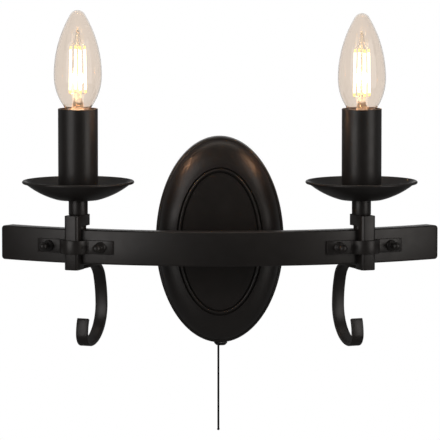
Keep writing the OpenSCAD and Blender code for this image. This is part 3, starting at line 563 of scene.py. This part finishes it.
def pan_outline():
    rise = pan_high.z - pan_low.z - PAN_LIP
    reach = (pan_high.x - pan_low.x) / 2 - PAN_LIP
    up = (reach ** 2 - PAN_SEAT ** 2 + rise ** 2) / (2 * rise)
    outer = math.hypot(PAN_SEAT, up)
    inner = outer - PAN_SHEET
    seat_angle = math.degrees(math.atan2(-up, PAN_SEAT))
    rim_angle = math.degrees(math.asin((rise - up) / outer))
    under = arc(0, up, outer, seat_angle, rim_angle - 0.9, 20)
    over = arc(0, up, inner, rim_angle - 1.1, -math.degrees(math.acos(PAN_SEAT / inner)), 20)
    lip = arc(reach, rise, PAN_LIP, -62, 152, 14)
    return [(NIPPLE_R, PAN_SHEET), (NIPPLE_R, 0)] + under + lip + over


def tube_outline(outer, wall, low, high):
    top = arc(outer - TUBE_EDGE, high - TUBE_EDGE, TUBE_EDGE, 0, 90, 3)
    bottom = arc(outer - TUBE_EDGE, low + TUBE_EDGE, TUBE_EDGE, -90, 0, 3)
    return [(outer - wall, low)] + bottom + top + [(outer - wall, high)]


def stub_outline():
    outer = (stub_high.x - stub_low.x) / 2
    return tube_outline(outer, STUB_WALL, stub_low.z, stub_high.z)


for side in SIDES:
    lift = Matrix.Translation((0, 0, pan_low.z))
    piece(
        side + "_spun_pan", lathe(pan_outline(), 128), "lamp_frame", [side + "_drip_pan"],
        at_candle(side) @ lift)
    tube = tube_outline((tube_high.x - tube_low.x) / 2, TUBE_WALL, tube_low.z, tube_high.z)
    piece(side + "_tube_sleeve", lathe(tube), "lamp_frame", [side + "_candle_tube"], at_candle(side))
    piece(side + "_stub_tube", lathe(stub_outline(), 64), "lamp_frame", [side + "_stub"], at_candle(side))
arm_low, arm_high = box_mm("arm_tube")
arm = tube_outline(arm_high.x, ARM_WALL, -arm_high.y, -arm_low.y)
piece("arm_sleeve", lathe(arm, 64), "lamp_frame", ["arm_tube"], Matrix.Rotation(math.pi / 2, 4, "X"))
print("pans, tubes and arm made")

# %% [markdown]
# The clamp bracket is shaped like a C: a leg in front of the bar, a block over it and a foot
# under it. Three joined boxes would leave faces inside, so its side view is drawn as one face
# and extruded to the bracket's width. The leg's two upright front edges have a wide chamfer
# and all others a fine one.

# %% Clamp brackets
LEG_FACE = 13.8
LEG_T = 7.7
LEG_EDGE = 1.6
LAP_Y = -2
LAP = 2.7
FINE_EDGE = 0.35
bracket_low, bracket_high = box_mm("right_bracket")
LEG_W = 10.8
BLOCK_REAR = 8.7
FOOT_TOP = -BAR_H / 2 - 0.2
BLOCK_LOW = stub_low.z - 8.2


def bracket_solid():
    bm = bmesh.new()
    low, high = bracket_low.z, bracket_high.z
    side_view = [
        (-LEG_FACE, low), (LAP_Y, low), (LAP_Y, low + LAP), (BLOCK_REAR, low + LAP), (BLOCK_REAR, FOOT_TOP),
        (-LEG_FACE + LEG_T, FOOT_TOP), (-LEG_FACE + LEG_T, BLOCK_LOW), (BLOCK_REAR, BLOCK_LOW),
        (BLOCK_REAR, high), (-LEG_FACE, high)]
    face = bm.faces.new([bm.verts.new((-LEG_W / 2, y, z)) for y, z in side_view])
    grown = bmesh.ops.extrude_face_region(bm, geom=[face])["geom"]
    bmesh.ops.translate(bm, verts=[g for g in grown if isinstance(g, bmesh.types.BMVert)], vec=(LEG_W, 0, 0))
    bmesh.ops.recalc_face_normals(bm, faces=bm.faces)
    front = [e for e in bm.edges if all(v.co.y < -LEG_FACE + 0.1 for v in e.verts)
             and abs(e.verts[0].co.x - e.verts[1].co.x) < 0.1]
    bmesh.ops.bevel(bm, geom=front, offset=LEG_EDGE, segments=1, profile=0.5, affect="EDGES", material=-1)
    rest = [e for e in bm.edges if e.calc_face_angle(0) > 0.5]
    bmesh.ops.bevel(bm, geom=rest, offset=FINE_EDGE, segments=2, profile=0.5, affect="EDGES", material=-1)
    return bm


for side in SIDES:
    piece(side + "_clamp_bracket", bracket_solid(), "lamp_frame", [side + "_bracket"], at_candle(side))
print("brackets from z", round(bracket_low.z, 1), "to", round(bracket_high.z, 1))


# %% [markdown]
# The strap and the hook are flat strip, bent cold. A Bezier curve with a flat section could
# follow them, but its handles don't say how long a stretch is or how tight a bend. So a strip
# is drawn as its middle line, the way it is bent: a point is pushed straight ahead or spun
# round a bend's centre. The line is then pulled to the strip's width, and a Solidify and a
# Bevel modifier give the thickness and the broken edges.

# %% Bent strips
BEND_STEP = 4


def walk(bm, start, heading, moves):
    tip = bm.verts.new(start)
    turned = math.radians(heading)
    for radius, amount in moves:
        if radius == 0:
            ahead = Vector((math.cos(turned), math.sin(turned), 0)) * amount
            tip = bmesh.ops.extrude_vert_indiv(bm, verts=[tip])["verts"][0]
            bmesh.ops.translate(bm, verts=[tip], vec=ahead)
            continue
        bend = math.radians(amount)
        left = Vector((-math.sin(turned), math.cos(turned), 0))
        centre = tip.co + left * math.copysign(radius, bend)
        steps = max(3, round(abs(amount) / BEND_STEP))
        spun = bmesh.ops.spin(bm, geom=[tip], cent=centre, axis=(0, 0, 1), angle=bend, steps=steps)
        tip = [g for g in spun["geom_last"] if isinstance(g, bmesh.types.BMVert)][0]
        turned += bend
    return tip.co.copy()


def widen(bm, width):
    grown = bmesh.ops.extrude_edge_only(bm, edges=bm.edges[:])["geom"]
    verts = [g for g in grown if isinstance(g, bmesh.types.BMVert)]
    bmesh.ops.translate(bm, verts=verts, vec=(0, 0, width))
    bmesh.ops.translate(bm, verts=bm.verts, vec=(0, 0, -width / 2))


def thicken(thing, thickness, edge):
    wall = thing.modifiers.new("thickness", "SOLIDIFY")
    wall.thickness = thickness * MM
    wall.offset = 0
    wall.use_even_offset = True
    fine = thing.modifiers.new("broken_edges", "BEVEL")
    fine.width = edge * MM
    fine.segments = 2
    fine.limit_method = "ANGLE"
    fine.angle_limit = math.radians(50)


# %% [markdown]
# The scroll hook hangs under the bar and curls up at its end. Each pair in its list is one
# stretch: a radius of 0 goes straight on for so many millimetres, and any other radius bends
# for so many degrees. The numbers are those of the CAD source, so this hook lies where the CAD
# one does.

# %% Scroll hooks
HOOK_W = 9
HOOK_T = 2.6
HOOK_START = -1.9
HOOK_LEVEL = -15.5
HOOK_MOVES = [(0, 25), (15, -70), (63, -20), (27, -90), (8, -90), (28, -24)]
SIDE_VIEW = Matrix(((0, 0, 1, 0), (1, 0, 0, 0), (0, 1, 0, 0), (0, 0, 0, 1)))

for side in SIDES:
    bm = bmesh.new()
    tip = walk(bm, (HOOK_START, HOOK_LEVEL, 0), 0, HOOK_MOVES)
    widen(bm, HOOK_W)
    hook = piece(side + "_scroll_hook", bm, "lamp_frame", [side + "_hook"], at_candle(side) @ SIDE_VIEW)
    thicken(hook, HOOK_T, FINE_EDGE)
print("hook tip", [round(x, 1) for x in tip], "in the hook's own side view")

# %% [markdown]
# The saddle strap's ears lie on the bar, and its crown arches over the leg. A flat strip could
# be wrapped on the bar with a Shrinkwrap modifier, but that would cling to the leg's corners.
# So it is one walk from ear to ear: along the bar's curve, round a tight bend, over the crown
# and down again. The crown's radius is worked out so that it just clears the leg's front.

# %% Saddle straps
STRAP_H = 10
STRAP_T = 1.6
STRAP_HALF = 30
CROWN_TURN = 75
EAR_BEND = 2
EAR_GAP = 0.05
STRAP_EDGE = 0.3
CROWN_OVER = 1.25
CROWN_R = (LEG_FACE - BAR_T / 2 + CROWN_OVER) / (1 - math.cos(math.radians(CROWN_TURN))) - EAR_BEND
ear_r = BAR_R + STRAP_T / 2 + EAR_GAP
crown_half = (CROWN_R + EAR_BEND) * math.sin(math.radians(CROWN_TURN))
ear_turn = math.degrees((STRAP_HALF - crown_half) / ear_r)
start_turn = STRAP_HALF / ear_r


def strap_line(bm):
    start = Matrix.Rotation(-start_turn, 3, "Z") @ Vector((0, -ear_r, 0))
    lean = math.degrees(crown_half / ear_r)
    moves = [
        (ear_r, ear_turn), (EAR_BEND, lean - CROWN_TURN), (CROWN_R, 2 * CROWN_TURN),
        (EAR_BEND, lean - CROWN_TURN), (ear_r, ear_turn)]
    return walk(bm, start, -math.degrees(start_turn), moves)


for side in SIDES:
    bm = bmesh.new()
    end = strap_line(bm)
    widen(bm, STRAP_H)
    place = Matrix.Translation((0, ARC_Y, 0)) @ Matrix.Rotation(SIDES[side] * CANDLE_TURN, 4, "Z")
    strap = piece(side + "_saddle_strap", bm, "lamp_frame", [side + "_strap"], place)
    thicken(strap, STRAP_T, STRAP_EDGE)
print("strap ends", [round(x, 1) for x in end])

# %% [markdown]
# Each strap is held by two bolts with a domed base, a short neck and a ball. Balls and cones
# could be stacked, but one lathed outline has no hidden faces. The bolts are turned so that
# they point out of the bar's front at their own place on the arc, and all four are one piece,
# as they are one node in the CAD.

# %% Ball bolts
BOLT_OFF = 20.5
BOLT_TURN = BOLT_OFF / BAR_R
BALL_R = 3.2
BALL_OUT = 9.6
SHANK_R = 1.5
DOME_R = 4.2
DOME_RISE = 1.8
DOME_EDGE = 0.5


def bolt_outline():
    base = STRAP_T + 0.1
    dome = [(0, -4), (SHANK_R, -4), (SHANK_R, base), (DOME_R, base), (DOME_R, base + DOME_EDGE)]
    for degrees in (20, 40, 58):
        turn = math.radians(degrees)
        dome.append((DOME_R * math.cos(turn), base + DOME_EDGE + DOME_RISE * math.sin(turn)))
    neck = [(1.9, base + 2.4), (1.6, base + 3.2)]
    ball = arc(0, BALL_OUT, BALL_R, -58, 90, 16)
    return dome + neck + ball


bolts = bmesh.new()
for side in SIDES.values():
    for off in (-1, 1):
        part = lathe(bolt_outline(), 40, closed=False)
        out = Matrix.Rotation(math.pi / 2, 4, "X")
        part.transform(on_arc(side * CANDLE_TURN + off * BOLT_TURN, BAR_R) @ out)
        held = bpy.data.meshes.new("bolt")
        part.to_mesh(held)
        part.free()
        bolts.from_mesh(held)
        bpy.data.meshes.remove(held)
piece("ball_bolts", bolts, "lamp_frame", ["strap_bolts"])
print("ball bolts stand out", BALL_OUT + BALL_R, "mm from the bar")

# %% [markdown]
# The bulb's glass is one blown skin: a short curve from the cap to its widest place, a long
# curve up to a small round tip. Inside stand a flared glass stem, four lit rods with yellow
# ends, and fine wires that carry the rods. The skin is lathed as a thin closed wall, not as a
# filled body, because a filled one would bend the view of the rods like a lens. The left bulb
# is screwed in a little less. The skin and the stem cast no shadow, because a thin clear glass
# lets the rods' light through.

# %% Bulb sizes
GLASS_R = 17.5
GLASS_MID = 22.0
LONG_R = 86
SHORT_R = 39
TIP_R = 6.0
CAP_R = 6.95
GLASS_WALL = 0.7
ROD_FOOT = 6.0
ROD_HEAD = 5.3
ROD_LEN = 34
ROD_END = 2.4
ROD_R = 0.85
ROD_TURN = 20
ROD_LOW = 9.1
ROD_LEAN = math.asin((ROD_FOOT - ROD_HEAD) / ROD_LEN)
ROD_HIGH = ROD_LOW + ROD_LEN
PRESS_R = 2.6
STEM_R = 0.8
WIRE_R = 0.3
WIRE_RISE = 11.5
WIRE_RING = 2.3
ROD_END_R = 0.8
STEM_TOP = ROD_HIGH + WIRE_RISE + 1
NECK_Z = GLASS_MID - math.sqrt(SHORT_R ** 2 - (SHORT_R - GLASS_R + CAP_R) ** 2)
print("glass starts", round(-NECK_Z, 2), "mm below the bulb's zero")


# %% Bulb outlines
def glass_line(inset):
    rise = math.sqrt((LONG_R - TIP_R) ** 2 - (LONG_R - GLASS_R) ** 2)
    lean = math.degrees(math.asin(rise / (LONG_R - TIP_R)))
    neck = math.degrees(math.asin((GLASS_MID - NECK_Z) / SHORT_R))
    short = arc(GLASS_R - SHORT_R, GLASS_MID, SHORT_R - inset, -neck, 0, 18)
    long = arc(GLASS_R - LONG_R, GLASS_MID, LONG_R - inset, 0, lean, 26)[1:]
    tip = arc(0, GLASS_MID + rise, TIP_R - inset, lean, 90, 10)[1:]
    return short + long + tip


def stem_outline():
    foot = NECK_Z + 1.5
    flare = [(0, foot), (5.9, foot), (4.6, foot + 0.8), (4.1, foot + 2.5), (3.8, foot + 5)]
    flare.append((3.1, foot + 7))
    press = [(PRESS_R, foot + 9), (PRESS_R, ROD_LOW + 0.6), (STEM_R, ROD_LOW + 2)]
    return flare + press + arc(0, STEM_TOP, STEM_R, 0, 90, 6)


print("glass outline points:", len(glass_line(0)))


# %% Rods and wires
def round_bar(bm, start, end, radius, segments=10):
    along = Vector(end) - Vector(start)
    turn = along.to_track_quat("Z", "Y").to_matrix().to_4x4()
    place = Matrix.Translation((Vector(start) + Vector(end)) / 2) @ turn
    bmesh.ops.create_cone(
        bm, cap_ends=True, segments=segments, radius1=radius, radius2=radius, depth=along.length,
        matrix=place)


def on_rod(i, out, z):
    turn = math.radians(ROD_TURN + 90 * i)
    return (out * math.cos(turn), out * math.sin(turn), z)


def rods(stretches, radius):
    bm = bmesh.new()
    for i in range(4):
        for low, high in stretches:
            ends = [on_rod(i, ROD_FOOT - s * math.sin(ROD_LEAN), ROD_LOW + s) for s in (low, high)]
            round_bar(bm, ends[0], ends[1], radius, 16)
    return bm


def wires():
    bm = bmesh.new()
    for i in range(4):
        low = ROD_LOW - WIRE_R
        high = ROD_HIGH + WIRE_R
        round_bar(bm, on_rod(i, PRESS_R - 0.3, low), on_rod(i, ROD_FOOT, low), WIRE_R)
        round_bar(bm, on_rod(i, ROD_HEAD, high), on_rod(i, WIRE_RING, high + 2.5), WIRE_R)
        round_bar(bm, on_rod(i, WIRE_RING, high + 2.4), on_rod(i, STEM_R, high + WIRE_RISE), WIRE_R)
    return bm


print("rods lean in by", round(math.degrees(ROD_LEAN), 2), "degrees")


# %% Bulbs
for side, sign in SIDES.items():
    body = side + "_bulb"
    foot_z = box_mm(side + "_bulb_cap")[1].z - NECK_Z
    stand = at_candle(side) @ Matrix.Translation((0, 0, foot_z))
    straight = stand @ Matrix.Rotation(-sign * CANDLE_TURN, 4, "Z")
    skin = glass_line(0) + glass_line(GLASS_WALL)[::-1]
    glass = piece(side + "_glass_skin", lathe(skin, 96), body, [side + "_bulb_glass"], stand, "bulb_glass")
    stem = piece(
        side + "_glass_stem", lathe(stem_outline(), 48, closed=False), body, [side + "_bulb_stem"],
        stand, "stem_glass")
    glass.visible_shadow = False
    stem.visible_shadow = False
    lit = rods([(ROD_END, ROD_LEN - ROD_END)], ROD_R)
    piece(side + "_lit_rods", lit, body, [side + "_filaments"], straight, "filament")
    ends = rods([(0, ROD_END), (ROD_LEN - ROD_END, ROD_LEN)], ROD_END_R)
    piece(side + "_rod_ends", ends, body, (), straight, "filament", rod_end_finish)
    piece(side + "_rod_wires", wires(), body, [side + "_filament_wires"], straight, "bulb_cap")
    print(side, "bulb stands", round(foot_z, 1), "mm up")

# %% [markdown]
# The switch's nozzle is a small black moulding under the plate: a flange and a short cone with
# a bore for the cord. A cone with a Boolean bore would do, but a lathed outline gives the bore
# and the rounded flange in one step.

# %% Switch nozzle
nozzle_low, nozzle_high = box_mm("switch_nozzle")
NOZZLE_X = (nozzle_low.x + nozzle_high.x) / 2
flange = (nozzle_high.x - nozzle_low.x) / 2
top, low = nozzle_high.z, nozzle_low.z
BORE_R = 2.6
nozzle = [(4.0, top), (flange - 0.2, top), (flange, top - 0.3), (flange - 0.15, top - 0.8)]
nozzle += [(4.6, top - 0.95), (3.5, low + 0.15), (3.3, low), (BORE_R, low)]
nozzle += [(BORE_R, top - 0.75), (4.0, top - 0.75)]
piece(
    "nozzle_moulding", lathe(nozzle, 48), "lamp_frame", ["switch_nozzle"],
    Matrix.Translation((NOZZLE_X, CORD_Y, 0)), "black_plastic")
print("nozzle", round(top - low, 2), "mm high, bore", 2 * BORE_R, "mm")

# %% [markdown]
# The studio is plain. The world is white to the camera and to rays that pass through glass,
# and so is the floor, which lies well below the lamp. Glossy rays see a pale page where they
# leave towards the backdrop, a grey band round it and a dim room elsewhere, because the
# photographed paint shows dark flanks. Rays that carry soft light get most of it from behind
# and above, where the soft boxes don't reach. Each fade turns a stretch of one axis of the
# ray's direction into a strength.

# %% Floor
FLOOR_R = 4000
FLOOR_Z = -1600
FLOOR_GREY = 0.18


def white_to_camera(tree, plain, white):
    path = tree.nodes.new("ShaderNodeLightPath")
    seen = tree.nodes.new("ShaderNodeMath")
    seen.operation = "MAXIMUM"
    mix = tree.nodes.new("ShaderNodeMixShader")
    tree.links.new(path.outputs["Is Camera Ray"], seen.inputs[0])
    tree.links.new(path.outputs["Is Transmission Ray"], seen.inputs[1])
    tree.links.new(seen.outputs[0], mix.inputs["Fac"])
    tree.links.new(plain, mix.inputs[1])
    tree.links.new(white, mix.inputs[2])
    return mix.outputs[0]


bm = bmesh.new()
bmesh.ops.create_circle(bm, cap_ends=True, segments=64, radius=FLOOR_R)
floor_mesh = finish_mesh("floor", bm, Matrix.Translation((0, 0, FLOOR_Z)))
floor = bpy.data.objects.new("floor", floor_mesh)
bpy.context.collection.objects.link(floor)
pale = bpy.data.materials.new("pale_floor")
pale.use_nodes = True
tree = pale.node_tree
shader = tree.nodes["Principled BSDF"]
shader.inputs["Base Color"].default_value = (FLOOR_GREY, FLOOR_GREY, FLOOR_GREY, 1)
shader.inputs["Roughness"].default_value = 0.9
white = tree.nodes.new("ShaderNodeEmission")
shown = white_to_camera(tree, shader.outputs[0], white.outputs[0])
tree.links.new(shown, tree.nodes["Material Output"].inputs["Surface"])
floor_mesh.materials.append(pale)
print("floor lies", -FLOOR_Z, "mm below the lamp's zero")

# %% World
world = bpy.context.scene.world or bpy.data.worlds.new("studio")
bpy.context.scene.world = world
world.use_nodes = True
tree = world.node_tree
tree.nodes.clear()
out = tree.nodes.new("ShaderNodeOutputWorld")
white = tree.nodes.new("ShaderNodeBackground")
white.inputs["Color"].default_value = (1, 1, 1, 1)
white.inputs["Strength"].default_value = 1.0
room = tree.nodes.new("ShaderNodeBackground")
direction = tree.nodes.new("ShaderNodeTexCoord")
axes = tree.nodes.new("ShaderNodeSeparateXYZ")
tree.links.new(direction.outputs["Generated"], axes.inputs[0])
PAGE_START = 0.93
PAGE_FULL = 0.97


def fade(axis, low, high, dark, light):
    span = tree.nodes.new("ShaderNodeMapRange")
    for key, value in (("From Min", low), ("From Max", high), ("To Min", dark), ("To Max", light)):
        span.inputs[key].default_value = value
    tree.links.new(axes.outputs[axis], span.inputs["Value"])
    return span.outputs["Result"]


def combine(kind, first, second):
    maths = tree.nodes.new("ShaderNodeMath")
    maths.operation = kind
    tree.links.new(first, maths.inputs[0])
    tree.links.new(second, maths.inputs[1])
    return maths.outputs[0]


soft = combine("MAXIMUM", fade("Z", -0.6, 0.8, 0.16, 0.50), fade("Y", 0.0, 0.8, 0.10, 1.0))
mirrored = combine("MULTIPLY", fade("Y", -0.1, 0.5, 0.0, 1.0), fade("Z", 0.05, 0.6, 0.03, 0.08))
mirrored = combine("MAXIMUM", mirrored, fade("Z", -0.5, 0.9, 0.01, 0.06))
band = combine("MULTIPLY", fade("Y", 0.0, 0.35, 0.0, 1.0), fade("Y", 0.7, 0.95, 0.22, 0.03))
mirrored = combine("MAXIMUM", mirrored, band)
page = fade("Y", PAGE_START, PAGE_FULL, 0.0, 1.0)
mirrored = combine("MAXIMUM", mirrored, page)
by_ray = tree.nodes.new("ShaderNodeMix")
by_ray.data_type = "FLOAT"
tree.links.new(tree.nodes.new("ShaderNodeLightPath").outputs["Is Glossy Ray"], by_ray.inputs["Factor"])
tree.links.new(soft, by_ray.inputs["A"])
tree.links.new(mirrored, by_ray.inputs["B"])
tree.links.new(by_ray.outputs["Result"], room.inputs["Strength"])
tree.links.new(white_to_camera(tree, room.outputs[0], white.outputs[0]), out.inputs["Surface"])
print("glossy rays see the pale page within", round(math.degrees(math.acos(PAGE_START))), "degrees")

# %% [markdown]
# Three soft boxes light the lamp: a tall one on the left that draws the soft line down each
# tube, a narrower one far round on the right, and a wide one overhead for the bar's top. They
# are hidden from the camera and from rays through glass, so no box shows through a bulb when
# the lamp is seen from behind.

# %% Lights
LIT_SPOT = Vector((0, -0.05, 0))


def soft_box(name, place, size, glow, color):
    lamp = bpy.data.lights.new(name, "AREA")
    lamp.shape = "RECTANGLE"
    lamp.size = size[0]
    lamp.size_y = size[1]
    lamp.energy = glow * math.pi * size[0] * size[1]
    lamp.color = color
    thing = bpy.data.objects.new(name, lamp)
    bpy.context.collection.objects.link(thing)
    thing.location = place
    thing.visible_camera = False
    thing.visible_transmission = False
    thing.rotation_euler = (LIT_SPOT - Vector(place)).to_track_quat("-Z", "Y").to_euler()
    print(name, "is", size[0], "m by", size[1], "m")


soft_box("left_box", (-1.3, -1.45, 0.3), (1.1, 1.5), 1.9, (1.0, 0.96, 0.94))
soft_box("right_box", (1.2, -0.85, 0.25), (0.8, 1.3), 1.7, (1.0, 0.95, 0.91))
soft_box("top_box", (0, 0.0, 1.7), (2.0, 0.5), 1.6, (1.0, 0.90, 0.80))

# %% [markdown]
# A lit bulb also warms what stands near it. Brighter rods could do that, but they would run
# together into one white mass. So the rods are only as bright as they look, and a small warm
# lamp in each bulb lights the tube's mouth, the pan and the plate's upper band.

# %% Glow of the bulbs
GLOW_WATTS = 0.16
for side in SIDES:
    lamp = bpy.data.lights.new(side + "_glow", "POINT")
    lamp.energy = GLOW_WATTS
    lamp.color = (1.0, 0.52, 0.27)
    lamp.shadow_soft_size = 5 * MM
    glow = bpy.data.objects.new(side + "_glow", lamp)
    bpy.context.collection.objects.link(glow)
    glow.location = at_candle(side) @ Vector((0, 0, TOP_Z + GLASS_MID)) * MM
print("glow in each bulb:", GLOW_WATTS, "W")

# %% [markdown]
# The Standard view transform adds no film-like curve, so a colour shows as it was lit.

# %% Standard colour
bpy.context.scene.view_settings.view_transform = "Standard"
